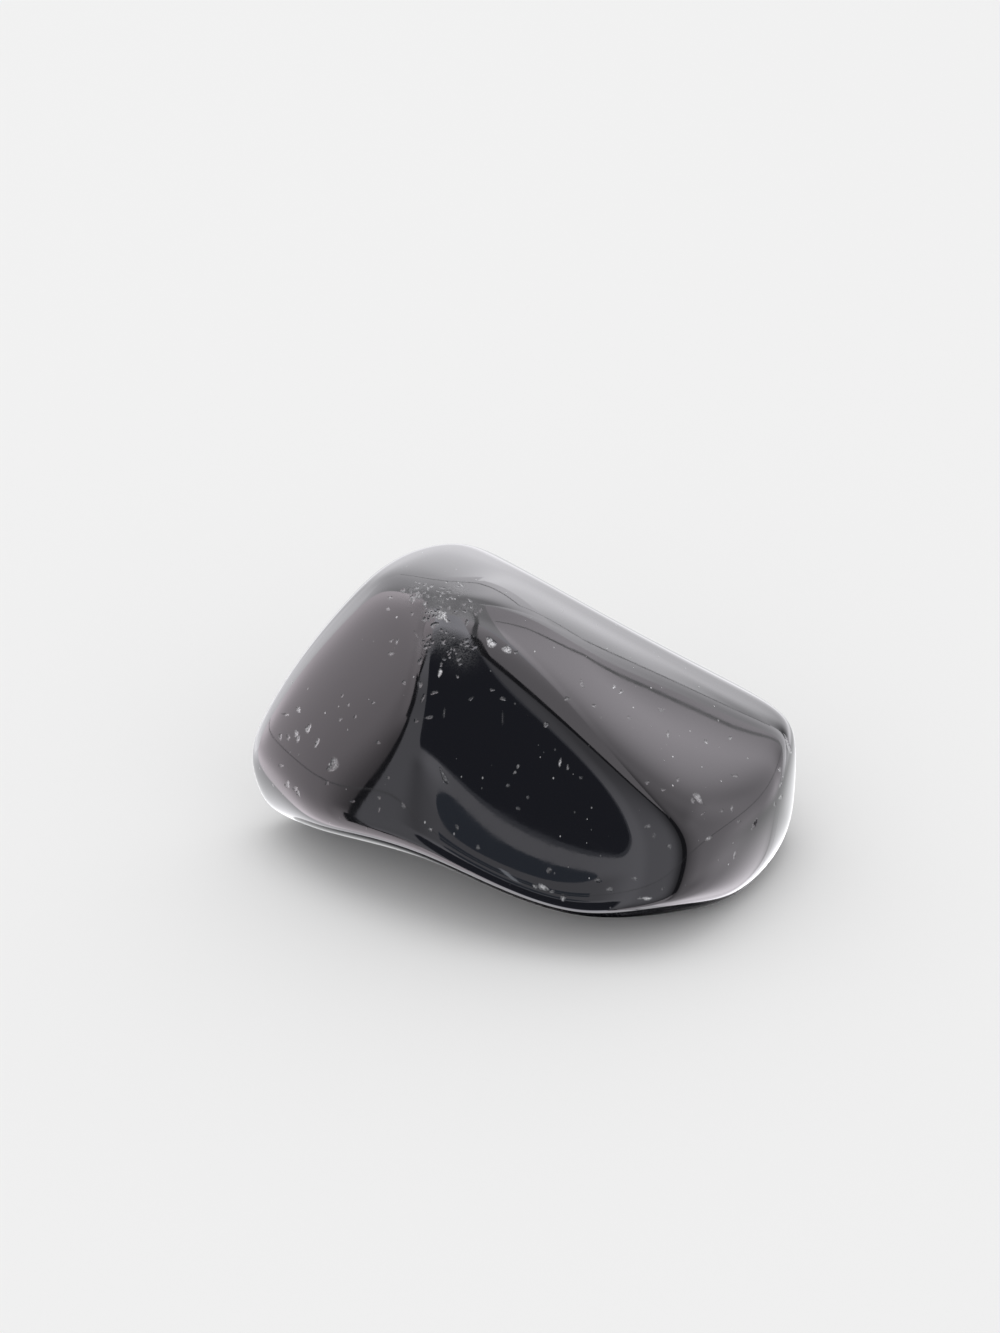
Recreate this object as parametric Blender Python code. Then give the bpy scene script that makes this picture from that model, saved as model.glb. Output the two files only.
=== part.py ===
"""Obsidian chunk: one tumbled stone of black volcanic glass, lying on its worn underside.

Metres, +Z up. The origin is on the surface that the stone lies on, under the middle of its width and depth.
+X runs along the stone's length, and -Y is its front.
"""
import math

import bmesh
import bpy
from mathutils import Vector

MM = 0.001

# Every face and hollow is placed from this point inside the stone
STONE_MIDDLE = Vector((0.2, 2.2, 9.0)) * MM

# The faces that the rough chunk broke with, worn round by tumbling: azimuth (0 is +X, 90 is +Y) and elevation of
# the way it faces, in degrees, distance from the middle, and the radius it bulges with (negative: it is dished)
WORN_FACES = {
    "front left slope": (-135, 31.5, 12.85 * MM, 115 * MM),
    "front left cheek": (-124, 17, 12.45 * MM, -280 * MM),
    "front slope": (-98.5, 23, 11.4 * MM, -250 * MM),
    "front bulge": (-84.5, 29.5, 13 * MM, 80 * MM),
    "front brow": (-87, 45.5, 10.8 * MM, -380 * MM),
    "front underneath": (-120, -57, 10.9 * MM, -270 * MM),
    "front right underneath": (-77, -46.5, 15.15 * MM, 800 * MM),
    "long top slope": (-31, 56.5, 10.4 * MM, 95 * MM),
    "top slope swell": (-35, 54, 16.15 * MM, 70 * MM),
    "right shoulder": (-42.5, 13, 17.2 * MM, 43 * MM),
    "right end": (-8, 0.5, 19.45 * MM, -260 * MM),
    "right underneath": (-17.5, -57.5, 17.7 * MM, 165 * MM),
    "crown": (57, 83, 13.1 * MM, 85 * MM),
    "left brow": (148.5, 35.5, 16.1 * MM, 145 * MM),
    "left flank": (-144, -13.5, 16.85 * MM, 700 * MM),
    "left underneath": (-163, -52.5, 21.45 * MM, 85 * MM),
    "back left": (112, 0, 9.55 * MM, 195 * MM),
    "back slope": (46, 46.5, 10.2 * MM, -250 * MM),
    "back right": (55.5, 18.5, 14.3 * MM, 185 * MM),
    "back underneath": (74, -21.5, 9.6 * MM, 155 * MM),
}

# A round hollow in the lower front left, like half a conchoidal scar: its centre from the middle, and its radius
SCAR_CENTRE = Vector((-18, -25.75, -25)) * MM
SCAR_RADIUS = 28 * MM

# Tumbling blends neighbouring faces: the larger this is, the softer the edges between them
EDGE_SOFTNESS = 0.7 * MM

# The patch that the stone rests on is worn level, this much into its lowest point
FOOT_WEAR = 0.05 * MM

# The skin starts as an icosphere; each further step divides every triangle into four
SKIN_STEPS = 5

# The skin is searched for outward from the middle, up to this far, by halving the span
SEARCH_REACH = 40 * MM
SEARCH_HALVINGS = 30

OBSIDIAN_COLOUR = (0.004, 0.004, 0.005, 1.0)
OBSIDIAN_ROUGHNESS = 0.05


def clear_objects():
    for obj in list(bpy.data.objects):
        bpy.data.objects.remove(obj, do_unlink=True)


def facing(azimuth, elevation):
    """Unit vector for an azimuth and an elevation in degrees."""
    level = math.cos(math.radians(elevation))
    east = level * math.cos(math.radians(azimuth))
    north = level * math.sin(math.radians(azimuth))
    return Vector((east, north, math.sin(math.radians(elevation))))


def height_above_skin(arm, face_planes):
    """How far a point lies outside the stone, roughly; arm is the point seen from the middle."""
    underside = -(STONE_MIDDLE.z + arm.z)
    scar = SCAR_RADIUS - (arm - SCAR_CENTRE).length
    heights = [underside, scar]
    for normal, distance, bulge in face_planes:
        along = arm.dot(normal)
        beside_squared = arm.length_squared - along * along
        heights.append(along - distance + beside_squared / (2 * bulge))
    highest = max(heights)
    blend = sum(math.exp((height - highest) / EDGE_SOFTNESS) for height in heights)
    return highest + EDGE_SOFTNESS * math.log(blend)


def skin_point(direction, face_planes):
    """Where the ray from the middle along direction leaves the stone."""
    inside, outside = 0.0, SEARCH_REACH
    for _ in range(SEARCH_HALVINGS):
        halfway = (inside + outside) / 2
        if height_above_skin(direction * halfway, face_planes) < 0:
            inside = halfway
        else:
            outside = halfway
    point = STONE_MIDDLE + direction * inside
    point.z = max(point.z, FOOT_WEAR) - FOOT_WEAR
    return point


def obsidian_material():
    material = bpy.data.materials.new("obsidian")
    material.use_nodes = True
    shader = material.node_tree.nodes["Principled BSDF"]
    shader.inputs["Base Color"].default_value = OBSIDIAN_COLOUR
    shader.inputs["Roughness"].default_value = OBSIDIAN_ROUGHNESS
    shader.inputs["Metallic"].default_value = 0.0
    return material


def make_stone(collection):
    """The whole chunk, one closed skin."""
    face_planes = []
    for azimuth, elevation, distance, bulge in WORN_FACES.values():
        face_planes.append((facing(azimuth, elevation), distance, bulge))

    skin = bmesh.new()
    bmesh.ops.create_icosphere(skin, subdivisions=SKIN_STEPS, radius=1.0)
    for vertex in skin.verts:
        vertex.co = skin_point(vertex.co.normalized(), face_planes)

    mesh = bpy.data.meshes.new("stone")
    skin.to_mesh(mesh)
    skin.free()
    mesh.shade_smooth()
    mesh.materials.append(obsidian_material())
    stone = bpy.data.objects.new("stone", mesh)
    collection.objects.link(stone)


def main():
    clear_objects()
    collection = bpy.data.collections.new("obsidian chunk")
    bpy.context.scene.collection.children.link(collection)
    make_stone(collection)


main()
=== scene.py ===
import math

import bmesh
import bpy
import numpy as np
from mathutils import Matrix, Vector


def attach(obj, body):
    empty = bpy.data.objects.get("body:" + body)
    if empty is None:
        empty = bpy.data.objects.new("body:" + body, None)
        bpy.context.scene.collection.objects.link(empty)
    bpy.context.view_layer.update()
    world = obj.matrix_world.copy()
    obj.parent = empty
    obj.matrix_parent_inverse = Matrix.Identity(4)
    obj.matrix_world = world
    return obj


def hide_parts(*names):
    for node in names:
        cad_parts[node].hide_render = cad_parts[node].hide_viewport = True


# Obsidian chunk, the looks. Every length below is in millimetres in the row's own frame, until a mesh is
# finished and brought to metres.
metresPerMm = 0.001

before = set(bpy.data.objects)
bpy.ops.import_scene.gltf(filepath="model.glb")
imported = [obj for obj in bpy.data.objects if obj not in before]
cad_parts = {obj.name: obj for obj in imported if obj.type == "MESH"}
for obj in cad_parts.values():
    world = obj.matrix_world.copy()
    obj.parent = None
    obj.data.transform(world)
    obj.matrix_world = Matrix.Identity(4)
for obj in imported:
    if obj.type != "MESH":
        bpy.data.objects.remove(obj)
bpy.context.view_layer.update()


class Wire:
    # An output socket. Sums on it add Math nodes, and node() adds any other node.
    def __init__(self, tree, socket=None):
        self.tree = tree
        self.socket = socket

    def node(self, kind, settings=None, inputs=None, output=0):
        added = self.tree.nodes.new(kind)
        for name, value in (settings or {}).items():
            setattr(added, name, value)
        for name, value in (inputs or {}).items():
            if isinstance(value, Wire):
                self.tree.links.new(value.socket, added.inputs[name])
            else:
                added.inputs[name].default_value = value
        return Wire(self.tree, added.outputs[output] if added.outputs else None)

    def output(self, name):
        # another output of the same node
        return Wire(self.tree, self.socket.node.outputs[name])

    def sum(self, operation, first, second):
        return self.node("ShaderNodeMath", {"operation": operation}, {0: first, 1: second})

    def __add__(self, other):
        return self.sum("ADD", self, other)

    def __radd__(self, other):
        return self.sum("ADD", other, self)

    def __mul__(self, other):
        return self.sum("MULTIPLY", self, other)

    def __rmul__(self, other):
        return self.sum("MULTIPLY", other, self)

    def __truediv__(self, other):
        return self.sum("DIVIDE", self, other)

    def __rtruediv__(self, other):
        return self.sum("DIVIDE", other, self)

    def ramp(self, low, high, fromValue=0.0, toValue=1.0):
        # low and high are where the value starts and ends; outside them it is held
        settings = {"interpolation_type": "SMOOTHSTEP"}
        inputs = {0: self, 1: low, 2: high, 3: fromValue, 4: toValue}
        return self.node("ShaderNodeMapRange", settings, inputs)

    def alongInMm(self, direction):
        # how far this place lies along a direction
        settings = {"operation": "DOT_PRODUCT"}
        reach = self.node("ShaderNodeVectorMath", settings, {0: self, 1: direction}, "Value")
        return reach / metresPerMm


def inMetres(place):
    return [length * metresPerMm for length in place]


def newMaterial(name):
    material = bpy.data.materials.new(name)
    material.use_nodes = True
    tree = material.node_tree
    for node in list(tree.nodes):
        tree.nodes.remove(node)
    return material, Wire(tree)


def finishMesh(mould, name, material):
    # the bmesh becomes an object at the origin, in metres
    bmesh.ops.scale(mould, vec=(metresPerMm,) * 3, verts=mould.verts)
    mesh = bpy.data.meshes.new(name)
    mould.to_mesh(mesh)
    mould.free()
    mesh.shade_smooth()
    mesh.materials.append(material)
    made = bpy.data.objects.new(name, mesh)
    bpy.context.scene.collection.objects.link(made)
    return made


cameraView = {
    "place": (-1.785, -289.45, 211.40),
    "lookingDown": 34.0,        # degrees under level
    "lens": 132.2,              # focal length
    "clip": (10.0, 20000.0),    # nearest and furthest that it sees
}


def makeCamera():
    lens = bpy.data.cameras.new("photograph view")
    lens.lens = cameraView["lens"]
    lens.clip_start, lens.clip_end = inMetres(cameraView["clip"])
    viewer = bpy.data.objects.new("photograph view", lens)
    viewer.location = Vector(cameraView["place"]) * metresPerMm
    viewer.rotation_euler = (math.radians(90.0 - cameraView["lookingDown"]), 0.0, 0.0)
    bpy.context.scene.collection.objects.link(viewer)
    bpy.context.scene.camera = viewer


# The same faces that the solid is made of: azimuth, elevation, distance from the middle, bulge radius
stoneForm = {
    "middle": (0.2, 2.2, 9.0),
    "faces": {
        "front left slope": (-135, 31.5, 12.85, 115),
        "front left cheek": (-124, 17, 12.45, -280),
        "front slope": (-98.5, 23, 11.4, -250),
        "front bulge": (-84.5, 29.5, 13, 80),
        "front brow": (-87, 45.5, 10.8, -380),
        "front underneath": (-120, -57, 10.9, -270),
        "front right underneath": (-77, -46.5, 15.15, 800),
        "long top slope": (-31, 56.5, 10.4, 95),
        "top slope swell": (-35, 54, 16.15, 70),
        "right shoulder": (-42.5, 13, 17.2, 43),
        "right end": (-8, 0.5, 19.45, -260),
        "right underneath": (-17.5, -57.5, 17.7, 165),
        "crown": (57, 83, 13.1, 85),
        "left brow": (148.5, 35.5, 16.1, 145),
        "left flank": (-144, -13.5, 16.85, 700),
        "left underneath": (-163, -52.5, 21.45, 85),
        "back left": (112, 0, 9.55, 195),
        "back slope": (46, 46.5, 10.2, -250),
        "back right": (55.5, 18.5, 14.3, 185),
        "back underneath": (74, -21.5, 9.6, 155),
    },
    "scarCentre": (-18, -25.75, -25),   # from the middle
    "scarRadius": 28,
    "edgeSoftness": 0.7,        # the larger, the softer the edges between faces
    "footWear": 0.05,           # how much of the lowest point is worn away level
    "skinSteps": 7,             # each step after the first divides every triangle into four
    "searchReach": 40.0,        # the skin is looked for this far out, by halving the span
    "searchHalvings": 40,
    "slopeStep": 0.002,         # heights this far either way give the way the skin faces
}


def facing(azimuth, elevation):
    level = math.cos(math.radians(elevation))
    east = level * math.cos(math.radians(azimuth))
    north = level * math.sin(math.radians(azimuth))
    return np.array((east, north, math.sin(math.radians(elevation))))


def heightAboveSkin(arms):
    # How far points lie outside the stone, roughly; arms are the points seen from the middle
    softness = stoneForm["edgeSoftness"]
    lengthSquared = (arms * arms).sum(axis=1)
    fromScar = np.linalg.norm(arms - np.array(stoneForm["scarCentre"]), axis=1)
    heights = [-(stoneForm["middle"][2] + arms[:, 2]), stoneForm["scarRadius"] - fromScar]
    for azimuth, elevation, distance, bulge in stoneForm["faces"].values():
        along = arms @ facing(azimuth, elevation)
        heights.append(along - distance + (lengthSquared - along * along) / (2 * bulge))
    heights = np.array(heights)
    highest = heights.max(axis=0)
    return highest + softness * np.log(np.exp((heights - highest) / softness).sum(axis=0))


def skinArms(directions, surface):
    # Where rays from the middle leave the surface
    inside = np.zeros(len(directions))
    outside = np.full(len(directions), stoneForm["searchReach"])
    for _ in range(stoneForm["searchHalvings"]):
        halfway = (inside + outside) / 2
        under = surface(directions * halfway[:, None]) < 0
        inside = np.where(under, halfway, inside)
        outside = np.where(under, outside, halfway)
    return directions * inside[:, None]


def anglesOf(arm):
    # the azimuth and elevation that an arm points in
    azimuth = math.atan2(arm[1], arm[0])
    elevation = math.asin(arm[2] / np.linalg.norm(arm))
    return math.degrees(azimuth), math.degrees(elevation)


def outwardNormals(arms, surface):
    slopes = []
    for axis in np.eye(3) * stoneForm["slopeStep"]:
        slopes.append(surface(arms + axis) - surface(arms - axis))
    slopes = np.array(slopes).T
    return slopes / np.linalg.norm(slopes, axis=1)[:, None]


chips = {
    # azimuth and elevation from the middle, length, width, turn of the length from level, depth, frosting
    "seen": [
        (-120.8, 64.5, 0.81, 0.62, 143, 0.05, 0.8), (-107.7, 64.6, 0.81, 0.47, 141, 0.04, 0.75),
        (-100.2, 64.5, 0.30, 0.23, 171, 0.02, 0.35), (-136.8, 47.0, 0.59, 0.27, 96, 0.05, 1),
        (-138.3, 49.4, 0.44, 0.15, 86, 0.02, 0.35), (-153.8, 60.5, 0.68, 0.54, 177, 0.04, 0.75),
        (-157.5, 59.9, 0.37, 0.32, 43, 0.03, 0.45), (-158.8, 59.0, 0.31, 0.23, 13, 0.02, 0.4),
        (-153.2, 56.8, 0.37, 0.31, 75, 0.02, 0.35), (-142.0, 65.0, 0.47, 0.22, 76, 0.02, 0.25),
        (-135.0, 60.3, 0.45, 0.30, 45, 0.02, 0.25), (-135.8, 58.8, 0.29, 0.23, 0, 0.02, 0.2),
        (-178.1, 50.4, 0.37, 0.23, 27, 0.02, 0.4), (-174.8, 48.5, 0.38, 0.23, 25, 0.02, 0.45),
        (-171.8, 56.2, 0.37, 0.37, 82, 0.02, 0.4), (-177.6, 54.6, 0.34, 0.34, 29, 0.02, 0.3),
        (-176.3, 58.4, 0.37, 0.31, 57, 0.02, 0.4), (-165.1, 54.0, 0.29, 0.22, 85, 0.02, 0.3),
        (-160.8, 41.5, 0.47, 0.30, 24, 0.02, 0.4), (-161.8, 45.4, 0.44, 0.23, 94, 0.02, 0.4),
        (-164.2, 44.1, 0.36, 0.16, 40, 0.02, 0.3), (-156.5, 51.3, 0.57, 0.16, 147, 0.02, 0.25),
        (-150.9, 53.7, 0.37, 0.24, 65, 0.02, 0.3), (-175.6, 9.8, 0.52, 0.37, 107, 0.03, 0.5),
        (-177.4, 6.8, 0.43, 0.22, 27, 0.02, 0.3), (-170.3, 7.7, 0.69, 0.44, 90, 0.04, 0.6),
        (-172.3, 4.9, 0.60, 0.35, 97, 0.03, 0.6), (-171.1, 4.2, 0.49, 0.37, 77, 0.03, 0.55),
        (-166.0, 6.2, 0.77, 0.28, 88, 0.03, 0.6), (-175.3, 2.0, 0.52, 0.32, 104, 0.03, 0.4),
        (-173.4, 2.9, 0.45, 0.31, 103, 0.02, 0.35), (-163.6, 15.3, 0.36, 0.20, 48, 0.02, 0.35),
        (-163.9, 20.3, 0.29, 0.22, 24, 0.02, 0.35), (-156.4, 26.1, 0.28, 0.22, 23, 0.02, 0.35),
        (-167.3, 21.1, 0.31, 0.19, 79, 0.02, 0.25), (-159.7, 18.9, 0.37, 0.19, 101, 0.02, 0.25),
        (-158.6, 3.6, 1.07, 0.79, 54, 0.03, 0.45), (-159.0, 1.9, 0.57, 0.37, 22, 0.03, 0.35),
        (-168.5, -7.0, 0.52, 0.51, 131, 0.03, 0.5), (-166.0, -6.8, 0.58, 0.30, 26, 0.03, 0.4),
        (-164.9, -7.6, 0.51, 0.36, 129, 0.03, 0.45), (-171.6, -3.6, 0.45, 0.22, 26, 0.02, 0.35),
        (-158.2, -1.8, 0.29, 0.22, 22, 0.02, 0.2), (-149.5, -3.6, 0.37, 0.15, 21, 0.02, 0.2),
        (-148.3, 16.3, 0.37, 0.22, 21, 0.02, 0.25), (-141.7, 0.5, 0.36, 0.22, 20, 0.02, 0.3),
        (-140.7, -2.9, 0.41, 0.16, 80, 0.02, 0.25), (-140.8, 7.5, 0.27, 0.22, 20, 0.02, 0.3),
        (-133.1, 1.0, 0.59, 0.26, 137, 0.02, 0.3), (-122.3, -3.5, 0.33, 0.30, 16, 0.03, 0.45),
        (-121.2, 14.6, 1.18, 0.32, 131, 0.02, 0.3), (-142.1, 40.3, 0.52, 0.33, 121, 0.02, 0.3),
        (-135.0, 40.4, 0.62, 0.22, 22, 0.02, 0.25), (-138.4, 37.2, 0.59, 0.24, 85, 0.02, 0.25),
        (-137.5, 29.3, 0.43, 0.29, 18, 0.02, 0.2), (-132.9, 32.2, 0.65, 0.22, 20, 0.02, 0.25),
        (-127.7, 35.5, 0.66, 0.15, 95, 0.02, 0.25), (-148.9, 37.7, 0.36, 0.29, 21, 0.02, 0.3),
        (-119.0, 43.6, 0.44, 0.22, 22, 0.02, 0.15), (-110.4, 48.9, 0.29, 0.22, 179, 0.02, 0.15),
        (-103.7, 46.6, 0.30, 0.37, 59, 0.02, 0.25), (-81.6, 37.3, 0.37, 0.37, 178, 0.02, 0.3),
        (-102.2, 39.2, 0.89, 0.15, 90, 0.01, 0.1), (-77.6, 23.1, 0.66, 0.18, 86, 0.03, 0.65),
        (-75.0, 21.2, 0.44, 0.15, 80, 0.02, 0.4), (-94.0, 22.0, 0.30, 0.22, 63, 0.02, 0.4),
        (-95.1, 19.8, 0.30, 0.18, 63, 0.02, 0.4), (-97.5, 15.0, 0.30, 0.22, 4, 0.02, 0.3),
        (-71.1, 17.5, 0.22, 0.22, 0, 0.02, 0.25), (-93.5, 7.4, 0.30, 0.22, 5, 0.02, 0.25),
        (-90.1, 11.3, 0.22, 0.22, 4, 0.02, 0.2), (-56.0, 49.9, 0.65, 0.33, 65, 0.02, 0.3),
        (-38.4, 43.1, 0.37, 0.24, 31, 0.03, 0.6), (-37.0, 40.0, 0.61, 0.15, 180, 0.02, 0.3),
        (-68.4, 45.9, 0.38, 0.27, 169, 0.02, 0.3), (-55.9, 40.3, 0.32, 0.24, 159, 0.02, 0.3),
        (-43.2, 31.0, 0.35, 0.25, 150, 0.01, 0.2), (-33.0, 19.8, 0.56, 0.21, 28, 0.03, 0.5),
        (-26.7, 26.4, 0.56, 0.34, 146, 0.01, 0.2), (-22.6, 11.6, 0.34, 0.29, 146, 0.03, 0.5),
        (-14.5, 8.0, 0.40, 0.25, 145, 0.02, 0.3), (-23.7, 2.5, 0.52, 0.19, 151, 0.02, 0.4),
        (-41.7, 9.8, 0.43, 0.17, 36, 0.02, 0.3), (-51.6, 12.6, 0.41, 0.19, 2, 0.02, 0.25),
        (-48.1, 9.6, 0.25, 0.23, 158, 0.02, 0.25), (-39.3, 4.4, 0.95, 0.55, 116, 0.03, 0.5),
        (-41.3, 4.5, 0.45, 0.31, 20, 0.02, 0.35), (-42.0, -3.9, 0.58, 0.31, 171, 0.03, 0.55),
        (-31.4, -1.6, 0.48, 0.25, 37, 0.02, 0.45), (-34.7, -0.6, 0.63, 0.15, 159, 0.02, 0.2),
        (-40.7, 1.3, 0.48, 0.15, 177, 0.02, 0.2), (-34.3, -11.5, 0.56, 0.32, 78, 0.02, 0.35),
        (-9.5, -3.7, 0.61, 0.22, 147, 0.02, 0.5), (-11.6, -6.1, 0.71, 0.28, 169, 0.02, 0.4),
        (-13.0, -8.5, 0.73, 0.32, 168, 0.02, 0.4), (-16.4, -8.3, 0.33, 0.39, 25, 0.02, 0.3),
        (-31.0, -4.9, 0.36, 0.22, 152, 0.02, 0.25), (-56.3, 2.5, 0.44, 0.30, 24, 0.02, 0.3),
        (-52.8, -2.6, 0.39, 0.30, 170, 0.02, 0.3), (-55.5, 0.3, 0.22, 0.37, 174, 0.01, 0.2),
        (-62.3, -9.2, 0.37, 0.30, 178, 0.02, 0.3), (-71.1, -10.3, 0.52, 0.23, 8, 0.02, 0.3),
        (-83.9, -9.5, 0.37, 0.38, 5, 0.02, 0.3), (-85.8, -13.8, 0.74, 0.47, 160, 0.04, 0.65),
        (-88.0, -13.9, 0.37, 0.31, 7, 0.03, 0.5), (-83.3, -14.5, 0.37, 0.23, 6, 0.02, 0.4),
        (-80.4, -15.7, 0.30, 0.48, 6, 0.03, 0.6), (-60.2, -13.8, 0.75, 0.26, 178, 0.03, 0.8),
        (-61.8, -13.7, 0.30, 0.17, 174, 0.02, 0.5), (-68.5, -12.0, 0.44, 0.38, 1, 0.02, 0.3),
        (-113.5, -0.9, 0.23, 0.38, 11, 0.02, 0.25), (-105.9, -5.8, 0.30, 0.30, 8, 0.02, 0.25),
        # On the line below, the second chip sits on the right rim: its pale frosting is partly a real chip
        # and partly a painted highlight.
        (-25.8, -8.2, 0.75, 0.36, 20, 0.17, 0.0), (-1.1, -2.9, 1.30, 0.60, 80, 0.03, 0.5),
    ],
    # where knocks in the tumbler left many small ones: azimuth, elevation, spread, count, frosting
    "bruises": {
        "left end of the crest": (-173.6, 57.5, 0.50, 16, 0.42),
        "crest": (-162.8, 62.7, 0.60, 18, 0.40),
        "behind the crest": (-168.1, 67.8, 0.50, 10, 0.30),
        "right end of the crest": (-149.8, 68.3, 0.45, 8, 0.30),
        "white spot": (-154.9, 60.3, 0.22, 7, 0.85),
        "under the crest": (-159.4, 58.5, 0.45, 14, 0.45),
        "upper front": (-143.6, 56.1, 0.55, 14, 0.25),
        "upper front left": (-149.7, 50.9, 0.40, 8, 0.24),
        "upper front right": (-133.0, 56.5, 0.60, 12, 0.25),
    },
    "bruiseSeed": 5,
    "bruiseSize": (0.12, 0.45),
    "bruiseWidth": (0.4, 0.9),          # of the chip's length
    "bruiseFrost": (0.5, 1.2),          # of the bruise's own frosting
    "bruiseDepth": (0.01, 0.035),
    "bruiseHaze": (0.07, 1.6),          # the dullness in the middle of a bruise, and its reach in spreads
    "hiddenCount": 70,
    "hiddenSeed": 11,
    "hiddenSize": (0.12, 0.75),
    "hiddenShrink": (0.4, 1.0),         # on top of the size, so that small ones are more common
    "hiddenWidth": (0.35, 0.9),         # of the chip's length
    "hiddenDepth": (0.015, 0.05),
    "hiddenFrost": (0.2, 0.6),
    "mostTowardsView": -0.15,           # hidden chips lie away from the view: 1 is straight towards it
    "mostDownward": -0.75,              # and clear of the foot: -1 is straight down
    "refineReach": (0.4, 0.15),         # beyond a chip's own half length, one for each division of the mesh
    "fieldReach": (1.6, 0.05),          # how far a chip is felt, in its half lengths, and a little more in mm
    "lobes": ((2, 0.28), (3, 0.22)),    # how often and how much the outline waves in and out around a chip
    "frostCurve": 1.5,
    "frostEdge": (1.3, 1.2),            # the frosting before it is held at 1, and how fast it falls outwards
}


def bruisePlaces():
    # the middle of each bruise on the skin, with its spread, count and frosting
    for azimuth, elevation, *rest in chips["bruises"].values():
        yield skinArms(facing(azimuth, elevation)[None], heightAboveSkin)[0], *rest


def bruiseChips():
    # The small chips of every bruise, strewn around its middle
    draw = np.random.default_rng(chips["bruiseSeed"])
    strewn = []
    for centre, spread, count, frost in bruisePlaces():
        for _ in range(count):
            arm = centre + draw.normal(size=3) * spread
            length = draw.uniform(*chips["bruiseSize"])
            width = length * draw.uniform(*chips["bruiseWidth"])
            share = frost * draw.uniform(*chips["bruiseFrost"])
            turn, depth = draw.uniform(0, 180), draw.uniform(*chips["bruiseDepth"])
            strewn.append((*anglesOf(arm), length, width, turn, depth, share))
    return strewn


def bruiseHaze(arms):
    # the dull skin around each bruise, fading outwards
    strength, reach = chips["bruiseHaze"]
    haze = np.zeros(len(arms))
    for centre, spread, *_ in bruisePlaces():
        away = np.linalg.norm(arms - centre, axis=1) / (spread * reach)
        haze = np.maximum(haze, strength * np.exp(-away * away))
    return haze


def hiddenChips():
    # A few on the sides that the photograph doesn't show, none of them on the foot
    draw = np.random.default_rng(chips["hiddenSeed"])
    view = facing(-90, cameraView["lookingDown"])
    strewn = []
    while len(strewn) < chips["hiddenCount"]:
        direction = draw.normal(size=3)
        direction /= np.linalg.norm(direction)
        length = draw.uniform(*chips["hiddenSize"]) * draw.uniform(*chips["hiddenShrink"])
        width = length * draw.uniform(*chips["hiddenWidth"])
        depth, frost = draw.uniform(*chips["hiddenDepth"]), draw.uniform(*chips["hiddenFrost"])
        turn = draw.uniform(0, 180)
        if direction @ view < chips["mostTowardsView"] and direction[2] > chips["mostDownward"]:
            strewn.append((*anglesOf(direction), length, width, turn, depth, frost))
    return strewn


def chipPlaces():
    # Each chip as its centre on the skin, its two directions along the skin, its half sizes,
    # its depth and its frosting
    listed = chips["seen"] + bruiseChips() + hiddenChips()
    arms = skinArms(np.array([facing(chip[0], chip[1]) for chip in listed]), heightAboveSkin)
    normals = outwardNormals(arms, heightAboveSkin)
    places = []
    for chip, arm, normal in zip(listed, arms, normals):
        length, width, turn, depth, frost = chip[2:]
        level = np.cross((0.0, 0.0, 1.0), normal)
        level /= np.linalg.norm(level)
        slope = np.cross(normal, level)
        turned = math.radians(turn)
        along = level * math.cos(turned) + slope * math.sin(turned)
        places.append((arm, along, np.cross(normal, along), length / 2, width / 2, depth, frost))
    return places


def chipField(arms, places):
    # How deep the chips are at each point, and how frosted they leave it
    depths = np.zeros(len(arms))
    frosts = np.zeros(len(arms))
    halfLengths, more = chips["fieldReach"]
    most, fall = chips["frostEdge"]
    for number, (centre, along, across, halfLength, halfWidth, depth, frost) in enumerate(places):
        offset = arms - centre
        near = (offset * offset).sum(axis=1) < (halfLength * halfLengths + more) ** 2
        if near.any():
            lengthwise = offset[near] @ along / halfLength
            crosswise = offset[near] @ across / halfWidth
            around = np.arctan2(crosswise, lengthwise)
            reach = lengthwise ** 2 + crosswise ** 2
            for lobes, amount in chips["lobes"]:
                reach = reach * (1 + amount * np.sin(lobes * around + number * lobes))
            depths[near] += depth * np.clip(1 - reach, 0, 1)
            frosting = frost ** chips["frostCurve"] * np.clip(most - fall * reach, 0, 1)
            frosts[near] = np.maximum(frosts[near], frosting)
    return depths, frosts


def refineNear(mould, places, reach):
    # divide the triangles around every chip
    corners = np.array([vertex.co for vertex in mould.verts]) - np.array(stoneForm["middle"])
    close = np.zeros(len(corners), bool)
    for centre, _, _, halfLength, *_ in places:
        offset = corners - centre
        close |= (offset * offset).sum(axis=1) < (halfLength + reach) ** 2
    mould.verts.index_update()
    edges = [edge for edge in mould.edges if close[edge.verts[0].index] and close[edge.verts[1].index]]
    bmesh.ops.subdivide_edges(mould, edges=edges, cuts=1, use_grid_fill=True)
    bmesh.ops.triangulate(mould, faces=[face for face in mould.faces if len(face.verts) > 3])


def setVertices(mould, places):
    for vertex, place in zip(mould.verts, places):
        vertex.co = place


def directionsOf(mould, centre):
    points = np.array([vertex.co for vertex in mould.verts]) - centre
    return points / np.linalg.norm(points, axis=1)[:, None]


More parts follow.
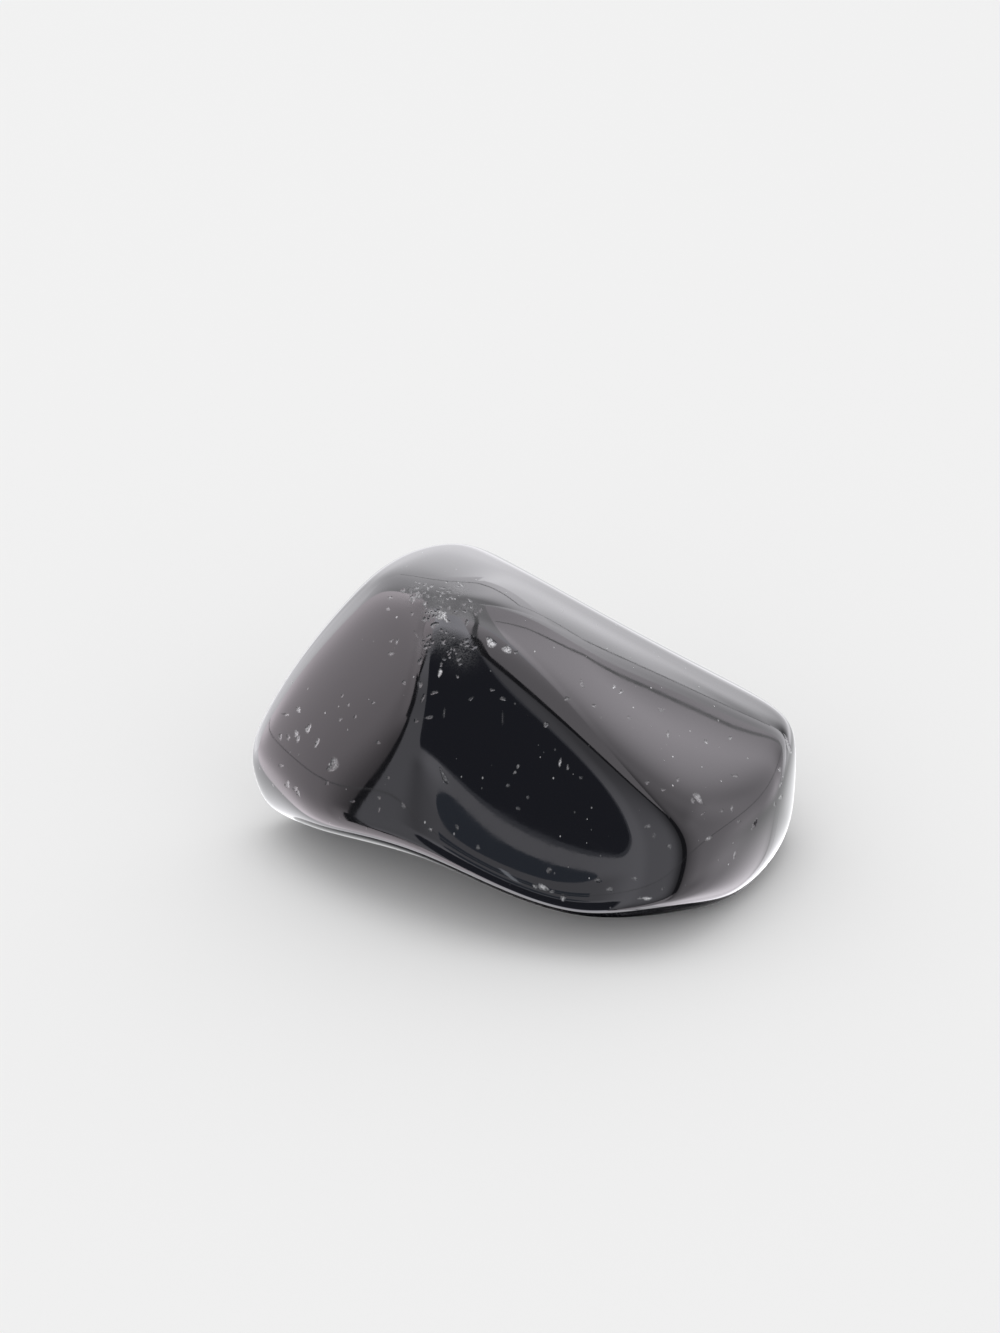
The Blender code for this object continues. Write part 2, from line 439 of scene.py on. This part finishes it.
def makeStone(material):
    middle = np.array(stoneForm["middle"])
    mould = bmesh.new()
    bmesh.ops.create_icosphere(mould, subdivisions=stoneForm["skinSteps"], radius=1.0)
    places = chipPlaces()
    arms = skinArms(directionsOf(mould, 0.0), heightAboveSkin)
    setVertices(mould, arms + middle)
    for reach in chips["refineReach"]:
        refineNear(mould, places, reach)
        arms = skinArms(directionsOf(mould, middle), heightAboveSkin)
        setVertices(mould, arms + middle)

    def chippedHeight(points):
        return heightAboveSkin(points) + chipField(points, places)[0]

    depths, frosts = chipField(arms, places)
    frosts = np.maximum(frosts, bruiseHaze(arms))
    arms = arms - outwardNormals(arms, heightAboveSkin) * depths[:, None]
    normals = outwardNormals(arms, chippedHeight)
    finished = arms + middle
    worn = finished[:, 2] < stoneForm["footWear"]
    normals[worn] = (0.0, 0.0, -1.0)
    finished[:, 2] = np.maximum(finished[:, 2], stoneForm["footWear"]) - stoneForm["footWear"]
    setVertices(mould, finished)
    stone = finishMesh(mould, "obsidian_stone", material)
    stone.data.normals_split_custom_set_from_vertices(normals)
    stone.data.attributes.new("frost", "FLOAT", "POINT").data.foreach_set("value", frosts)
    return stone


obsidianLook = {
    "glass": (0.004, 0.004, 0.005, 1.0),
    "refraction": 1.5,
    "roughness": (0.03, 0.055),         # between the best and the poorest polish
    "frostColor": (0.80, 0.80, 0.82, 1.0),
    "frostRoughness": 0.5,
    "dullFrost": 0.5,                   # the frosting from which the skin is as rough as it gets
    "noises": {
        "grain": {"Scale": 9.0, "Detail": 4.0, "Roughness": 0.6},
        "polish": {"Scale": 0.7, "Detail": 3.0},
        "ripple": {"Scale": 0.45, "Detail": 1.0},
        "peel": {"Scale": 2.4, "Detail": 3.0},
    },
    "polishSpan": (0.3, 0.7),           # the noise at the best and at the poorest polish
    "frostGrain": (0.4, 0.6, 0.2, 1.0), # two values of the grain, and the frosting that each leaves
    "rippleDepth": 0.0007,              # mm, on the long ripples that tumbling leaves
    "peelDepth": 0.00035,
    "grainDepth": 0.02,                 # only where the skin is frosted
    "fleckSpacing": 0.7,                # mm between possible flecks
    "fleckShare": 0.75,                 # of the possible ones
    "fleckFade": 0.01,
    "fleckStretch": (1.0, 1.0, 0.55),   # under 1 makes them longer that way
    "fleckSize": (0.05, 0.12),          # in spacings
    "fleckEdge": (1.0, 0.5),            # in its own size, from clear to whole
    "fleckStrength": (0.2, 1.0, 0.15, 1.0), # two values of the chance, and the strength that each gives
    "fleckFrost": 0.5,                  # of the strongest
}


def obsidianMaterial():
    look = obsidianLook
    material, start = newMaterial("obsidian")
    place = start.node("ShaderNodeTexCoord", output="Object")
    inMm = start.node("ShaderNodeVectorMath", {"operation": "SCALE"}, {0: place, "Scale": 1 / metresPerMm})

    def noise(name):
        return start.node("ShaderNodeTexNoise", {}, {"Vector": inMm, **look["noises"][name]})

    # tiny random flecks: faint short strokes up the slope
    settings = {"operation": "MULTIPLY"}
    stretched = start.node("ShaderNodeVectorMath", settings, {0: inMm, 1: look["fleckStretch"]})
    density = 1 / look["fleckSpacing"]
    cells = start.node("ShaderNodeTexVoronoi", {}, {"Vector": stretched, "Scale": density})
    chance = start.node("ShaderNodeSeparateColor", {}, {"Color": cells.output("Color")})
    size = chance.output("Red").ramp(0.0, 1.0, *look["fleckSize"])
    absent = 1 - look["fleckShare"]
    present = chance.output("Green").ramp(absent, absent + look["fleckFade"])
    inside = (cells.output("Distance") / size).ramp(*look["fleckEdge"])
    flecks = inside * present * chance.output("Blue").ramp(*look["fleckStrength"])

    grain = noise("grain")
    frost = start.node("ShaderNodeAttribute", {"attribute_name": "frost"}, output="Fac")
    chipFrost = frost * grain.ramp(*look["frostGrain"])
    frostShare = start.sum("MAXIMUM", chipFrost, flecks * look["fleckFrost"])

    polish = noise("polish").ramp(*look["polishSpan"], *look["roughness"])
    base = start.node("ShaderNodeMix", {"data_type": "RGBA"}, {
        "Factor": frostShare, 6: look["glass"], 7: look["frostColor"]}, output=2)
    dullness = start.node("ShaderNodeMapRange", {}, {
        0: frostShare, 1: 0.0, 2: look["dullFrost"], 3: polish, 4: look["frostRoughness"]})

    height = noise("ripple") * look["rippleDepth"] + noise("peel") * look["peelDepth"]
    height = height + grain * frostShare * look["grainDepth"]
    bump = start.node("ShaderNodeBump", {}, {"Height": height, "Distance": metresPerMm})
    shader = start.node("ShaderNodeBsdfPrincipled", {}, {
        "Base Color": base,
        "Roughness": dullness,
        "IOR": look["refraction"],
        "Normal": bump,
    })
    start.node("ShaderNodeOutputMaterial", {}, {"Surface": shader})
    return material


# The studio is a cloth tent around the stone: pale walls whose glow changes over their width and
# height, with dark seams where they meet, and one wall open in front. Each glow is its color, its
# least strength, and then any number of gains, each multiplied by its ramps: a direction, and where
# along it the ramp starts and ends.
alongX = (1.0, 0.0, 0.0)
alongY = (0.0, 1.0, 0.0)
alongZ = (0.0, 0.0, 1.0)

studio = {
    "worldGlow": 0.9,
    "lamp": {"place": (-50.0, 100.0, 700.0), "size": 500.0, "energy": 0.7},
    "floor": {"half": 3000.0, "under": 0.02, "color": (0.86, 0.86, 0.86, 1.0)},
    "left": -376.0,
    "right": 214.0,
    "front": -169.0,
    "back": 132.0,
    "top": 635.0,
    "layer": 0.5,                       # between cards that hang one in front of another
    "opening": ((-253, 51), (23, 51), (25, 310), (-234, 243)),
    "openingEdge": ((-255, 49), (26, 49), (28, 314), (-237, 252)),
    "openingRounding": 20.0,
    "bandFrom": 185.0,                  # the back wall differs from here to its right corner
    "panel": {
        "ends": (24.0, 185.0),          # of its left half and of its right half
        "tops": (108.0, 125.0),
        "slant": (-10.0, 110.0, 130.0), # a third piece, across the right half: its start, rise and height
    },
    # the corners of the tent that fold over the opening: their lowest point, reach, rise and height
    "leftFlap": (200.0, 155.0, 94.0, 360.0),
    "rightFlap": (176.0, -184.0, 127.0, 360.0),
    "oval": {"across": -88.0, "up": 32.0, "halfWidth": 76.0, "halfHeight": 9.5, "turn": -4.0},
    "shade": (-165.0, 150.0, 8.0),      # where it starts, its width and its height
    "slit": (-65.0, 5.0, 13.0),
    # a sheet on the floor that only the stone's own shine sees: it is glossy, and parts of it glow
    "sheet": {
        "under": 0.01,
        "gloss": (0.97, 0.97, 0.97, 1.0),
        "glow": (1.5, 1.51, 1.53),
        "share": 0.94,                  # of the glow, where it is at its most
        "fade": ((0.1, 1, 0), -9, 6),   # a direction, and where along it the glow starts and is whole
        "leftEnd": (-36, -22),          # the same along the stone's length
        "steep": (0.78, 0.6),           # the same for the way it is seen, from flat to steep
        "dim": (3, 30, 0.6),            # behind the stone the glow falls to this share
    },
    "glows": {
        "left": ((1.035, 0.95, 1.015), 0.55, [
            (1.6, (alongY, -175, -85)), (0.6, (alongY, -100, 20)), (2.4, (alongY, -20, 120)),
            (1.3, (alongZ, 60, 300)), (1.5, (alongZ, 80, 10), (alongY, 40, 110)),
            (0.9, (alongZ, 40, 110), (alongY, -110, -150)), (-2.6, (alongY, 40, 110), (alongZ, 380, 560))]),
        "right": ((1.02, 0.965, 1.03), 0.6, [
            (0.8, (alongY, -175, -110)), (0.5, ((0, 1.9, 1), 0, 140)), (3.0, ((0, 1.9, 1), 145, 370)),
            (-1.0, ((0, 1.9, 1), 375, 600)), (1.5, (alongZ, 300, 550), (alongY, -60, -160)),
            (-1.7, (alongY, 92, 125), (alongZ, 260, 150)),
            (0.6, (alongZ, 140, 90), (alongY, -130, -60), (alongY, 60, 20))]),
        "front": ((0.99, 0.98, 1.07), 0.35, [
            (0.35, (alongX, 214, 140)), (0.3, (alongX, 60, 35)), (0.25, (alongX, -100, -240)),
            (0.9, (alongX, -150, -250), (alongZ, 120, 250)), (0.85, (alongX, 190, 110), (alongZ, 240, 60)),
            (-0.35, (alongX, 40, -40)), (-0.5, (alongX, -150, -260), (alongZ, 240, 60)),
            (3.5, (alongZ, 285, 385)),
            (-0.45, (alongZ, 42, 30), (alongX, 30, -10), (alongX, -300, -230)),
            (0.3, (alongX, -250, -190), (alongX, -110, -160), (alongZ, 20, 35))]),
        "back": ((1.0, 0.985, 1.03), 2.8, [
            (1.2, (alongZ, 430, 160)), (2.0, (alongX, -80, -320), (alongZ, 250, 50)),
            (3.0, (alongX, -30, 90), (alongZ, 420, 220))]),
        "band": ((1.0, 0.985, 1.03), 2.9, [
            (2.8, (alongZ, 95, 250)), (-1.5, (alongZ, 300, 500)), (1.1, (alongX, 208, 188))]),
        "top": ((1.0, 0.985, 1.03), 3.0, [(1.2, (alongY, -50, -150))]),
        "panel": ((1.0, 0.99, 1.03), 3.7, [
            (4.9, (alongX, -25, 45), (alongZ, 30, 130)), (-2.0, (alongX, 130, 185), (alongZ, 140, 60)),
            (2.6, (alongX, -80, -280)), (-2.6, (alongX, 115, 185), (alongZ, 60, 95)),
            (-1.4, (alongZ, 50, 5), (alongX, -150, -90))]),
        "left flap": ((1.05, 0.95, 1.02), 2.6, [(1.5, (alongZ, 250, 400))]),
        "right flap": ((1.02, 0.965, 1.03), 1.95, [(2.5, ((-1, 0, 1), 250, 500))]),
        "seam": ((1.0, 1.0, 1.1), 0.08, []),
        "faint seam": ((1.0, 1.0, 1.03), 1.5, []),
        "slit": ((0.95, 1.0, 1.1), 3.0, []),
        "foot seam": ((1.0, 1.0, 1.05), 0.9, []),
        "dark": ((0.9, 0.97, 1.3), 0.16, []),
        "half dark": ((0.95, 0.98, 1.15), 0.6, []),
        "oval": ((0.85, 1.0, 1.3), 0.38, []),
    },
    # tape on the walls: wall, glow, width, and the points that it runs through, as seen on that wall
    "seams": [
        ("front", "seam", 28, [(-374, 0), (-374, 90)]),
        ("front", "seam", 22, [(-374, 90), (-374, 200), (-221, 294)]),
        ("front", "seam", 10, [(-374, 70), (-354, 150), (-354, 320)]),
        ("front", "seam", 44, [(212, 0), (212, 178)]),
        ("front", "seam", 23, [(212, 181), (30, 306), (42, 368)]),
        ("front", "foot seam", 14, [(42, 368), (56, 415), (96, 540), (125, 635)]),
        ("ceiling", "faint seam", 20, [(125, -169), (137, -105), (132, -30)]),
        ("left", "seam", 17, [(-169, 0), (-169, 90)]),
        ("left", "seam", 34, [(-169, 90), (-169, 200)]),
        ("right", "seam", 34, [(-169, 0), (-169, 178)]),
        ("right", "faint seam", 4, [(129, 0), (119, 115), (122, 170), (118, 230), (72, 358), (-40, 600)]),
        ("back", "faint seam", 2.5, [(185, 60), (186, 190), (146, 240), (28, 138), (-64, 107)]),
        ("left", "foot seam", 2, [(-169, 0), (132, 0)]),
        ("right", "foot seam", 2.5, [(-169, 0), (132, 0)]),
        ("front", "foot seam", 1.6, [(-376, 0), (214, 0)]),
    ],
}


def glowMaterial(name):
    color, glow, gains = studio["glows"][name]
    material, start = newMaterial(name + " glow")
    place = start.node("ShaderNodeTexCoord", output="Object")
    for gain, *ramps in gains:
        share = gain
        for direction, low, high in ramps:
            share = share * place.alongInMm(direction).ramp(low, high)
        glow = glow + share
    tinted = start.node("ShaderNodeVectorMath", {"operation": "SCALE"}, {0: color, "Scale": glow})
    shine = start.node("ShaderNodeEmission", {}, {"Color": tinted})
    start.node("ShaderNodeOutputMaterial", {}, {"Surface": shine})
    return material


def finishCard(mould, name, material):
    # a piece of the studio that only shine sees
    card = finishMesh(mould, name, material)
    card.visible_camera = False
    card.visible_diffuse = False
    card.visible_shadow = False
    card.visible_transmission = False
    card.visible_volume_scatter = False
    return card


def makeCard(name, corner, along, across, material):
    # a flat card that reaches from a corner along two directions
    corner, along, across = Vector(corner), Vector(along), Vector(across)
    mould = bmesh.new()
    bmesh.ops.create_grid(mould, x_segments=1, y_segments=1, size=0.5)
    turn = Matrix((along, across, along.cross(across).normalized())).transposed().to_4x4()
    middle = Matrix.Translation(corner + (along + across) / 2)
    bmesh.ops.transform(mould, matrix=middle @ turn, verts=mould.verts)
    return finishCard(mould, name, material)


def makeSeam(points, normal, width, material):
    # tape from point to point, lying square to the normal
    for start, end in zip(points, points[1:]):
        along = Vector(end) - Vector(start)
        sideways = Vector(normal).cross(along).normalized() * width
        makeCard("seam", Vector(start) - sideways / 2, along, sideways, material)


def makeOpening(name, corners, depth, material):
    # a four-cornered patch with rounded corners that stands square to the depth
    mould = bmesh.new()
    bmesh.ops.create_circle(mould, cap_ends=True, segments=4, radius=1.0)
    for vertex, (across, up) in zip(mould.verts, corners):
        vertex.co = (across, depth, up)
    bmesh.ops.bevel(mould, geom=list(mould.verts), offset=studio["openingRounding"], segments=8,
                    profile=0.5, affect="VERTICES", material=-1)
    finishCard(mould, name, material)


def makeOval(name, depth, material):
    # an oval patch that stands square to the depth
    oval = studio["oval"]
    mould = bmesh.new()
    bmesh.ops.create_circle(mould, cap_ends=True, segments=48, radius=1.0)
    middle = Matrix.Translation((oval["across"], depth, oval["up"]))
    shape = Matrix.Diagonal((oval["halfWidth"], 1.0, oval["halfHeight"], 1.0))
    lie = Matrix.Rotation(math.radians(oval["turn"]), 4, "Y") @ shape
    stand = Matrix.Rotation(math.radians(90), 4, "X")
    bmesh.ops.transform(mould, matrix=middle @ lie @ stand, verts=mould.verts)
    finishCard(mould, name, material)


def makeTent():
    left, right, front, back, top = (studio[side] for side in ("left", "right", "front", "back", "top"))
    glows = {name: glowMaterial(name) for name in studio["glows"]}
    layer = studio["layer"]
    wide, deep = right - left, back - front
    makeCard("left_card", (left, front, 0), (0, deep, 0), (0, 0, top), glows["left"])
    makeCard("right_card", (right, front, 0), (0, deep, 0), (0, 0, top), glows["right"])
    makeCard("front_card", (left, front, 0), (wide, 0, 0), (0, 0, top), glows["front"])
    makeCard("back_card", (left, back, 0), (wide, 0, 0), (0, 0, top), glows["back"])
    bandFrom = studio["bandFrom"]
    makeCard("band_card", (bandFrom, back - layer, 0), (right - bandFrom, 0, 0), (0, 0, top), glows["band"])
    makeCard("top_card", (left, front, top), (wide, 0, 0), (0, deep, 0), glows["top"])

    # the lamp panel on the back wall, low on the left and rising to the right
    depth = back - 2 * layer
    leftEnd, rightEnd = studio["panel"]["ends"]
    leftTop, rightTop = studio["panel"]["tops"]
    low, rise, height = studio["panel"]["slant"]
    half = rightEnd - leftEnd
    makeCard("panel_left", (left, depth, 0), (leftEnd - left, 0, 0), (0, 0, leftTop), glows["panel"])
    makeCard("panel_right", (leftEnd, depth, 0), (half, 0, 0), (0, 0, rightTop), glows["panel"])
    makeCard("panel_rise", (leftEnd, depth - layer, low), (half, 0, rise), (0, 0, height), glows["panel"])

    # in front: the opening, and the corners of the tent that fold over it
    makeOpening("opening_edge", studio["openingEdge"], front + layer, glows["half dark"])
    makeOpening("opening", studio["opening"], front + 2 * layer, glows["dark"])
    for side in ("left", "right"):
        low, reach, rise, height = studio[side + "Flap"]
        corner = (studio[side], front + 4 * layer, low)
        makeCard(side + "_flap", corner, (reach, 0, rise), (0, 0, height), glows[side + " flap"])
    makeOval("low_oval", front + 3 * layer, glows["oval"])
    start, width, height = studio["shade"]
    makeCard("low_shade", (start, front + 3 * layer, 0), (width, 0, 0), (0, 0, height), glows["oval"])

    walls = {
        "left": (alongX, lambda across, up: (left + 2 * layer, across, up)),
        "right": (alongX, lambda across, up: (right - 2 * layer, across, up)),
        "front": (alongY, lambda across, up: (across, front + 6 * layer, up)),
        "back": (alongY, lambda across, up: (across, back - 4 * layer, up)),
        "ceiling": (alongZ, lambda across, up: (across, up, top - 2 * layer)),
    }
    for wall, glow, width, points in studio["seams"]:
        normal, place = walls[wall]
        makeSeam([place(*point) for point in points], normal, width, glows[glow])
    start, width, height = studio["slit"]
    makeCard("slit", (start, front + 7 * layer, 0), (width, 0, 0), (0, 0, height), glows["slit"])


def makeShineSheet():
    # its share of glow: behind the stone, right of its left end, and where it is seen steeply
    left, right, front, back = (studio[side] for side in ("left", "right", "front", "back"))
    sheet = studio["sheet"]
    direction, low, high = sheet["fade"]
    material, start = newMaterial("shine sheet")
    place = start.node("ShaderNodeTexCoord", output="Object")
    flatness = start.node("ShaderNodeLayerWeight", {}, {"Blend": 0.5}, "Facing")
    share = place.alongInMm(direction).ramp(low, high) * place.alongInMm(alongX).ramp(*sheet["leftEnd"])
    share = share * flatness.ramp(*sheet["steep"]) * sheet["share"]
    gloss = start.node("ShaderNodeBsdfAnisotropic", {"distribution": "GGX"}, {
        "Color": sheet["gloss"], "Roughness": 0.0})
    near, far, farGlow = sheet["dim"]
    dimming = place.alongInMm(alongY).ramp(near, far, 1.0, farGlow)
    dimmed = start.node("ShaderNodeVectorMath", {"operation": "SCALE"}, {0: sheet["glow"], "Scale": dimming})
    glow = start.node("ShaderNodeEmission", {}, {"Color": dimmed})
    mixed = start.node("ShaderNodeMixShader", {}, {0: share, 1: gloss, 2: glow})
    start.node("ShaderNodeOutputMaterial", {}, {"Surface": mixed})
    corner = (left, front, -sheet["under"])
    makeCard("shine_sheet", corner, (right - left, 0, 0), (0, back - front, 0), material)


def makeFloor():
    # seen by the camera and by plain light, but not by shine
    material, start = newMaterial("pale floor")
    paint = start.node("ShaderNodeBsdfDiffuse", {}, {"Color": studio["floor"]["color"]})
    start.node("ShaderNodeOutputMaterial", {}, {"Surface": paint})
    half, under = studio["floor"]["half"], studio["floor"]["under"]
    floor = makeCard("floor", (-half, -half, -under), (2 * half, 0, 0), (0, 2 * half, 0), material)
    floor.visible_camera = True
    floor.visible_diffuse = True
    floor.visible_shadow = True
    floor.visible_glossy = False


def makeLight():
    world = bpy.data.worlds.new("studio")
    world.use_nodes = True
    world.node_tree.nodes["Background"].inputs["Color"].default_value = (1.0, 1.0, 1.0, 1.0)
    world.node_tree.nodes["Background"].inputs["Strength"].default_value = studio["worldGlow"]
    world.cycles_visibility.glossy = False
    bpy.context.scene.world = world

    lamp = bpy.data.lights.new("soft lamp", "AREA")
    lamp.shape = "DISK"
    lamp.size = studio["lamp"]["size"] * metresPerMm
    lamp.energy = studio["lamp"]["energy"]
    holder = bpy.data.objects.new("soft lamp", lamp)
    holder.location = inMetres(studio["lamp"]["place"])
    holder.visible_glossy = False
    bpy.context.scene.collection.objects.link(holder)
    bpy.context.scene.view_settings.view_transform = "Standard"


makeCamera()
print("camera placed")
stone = makeStone(obsidianMaterial())
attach(stone, "root")
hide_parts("stone")
print("stone shaped:", len(stone.data.polygons), "faces")
makeTent()
makeShineSheet()
makeFloor()
makeLight()
print("studio lit")

bpy.context.view_layer.update()
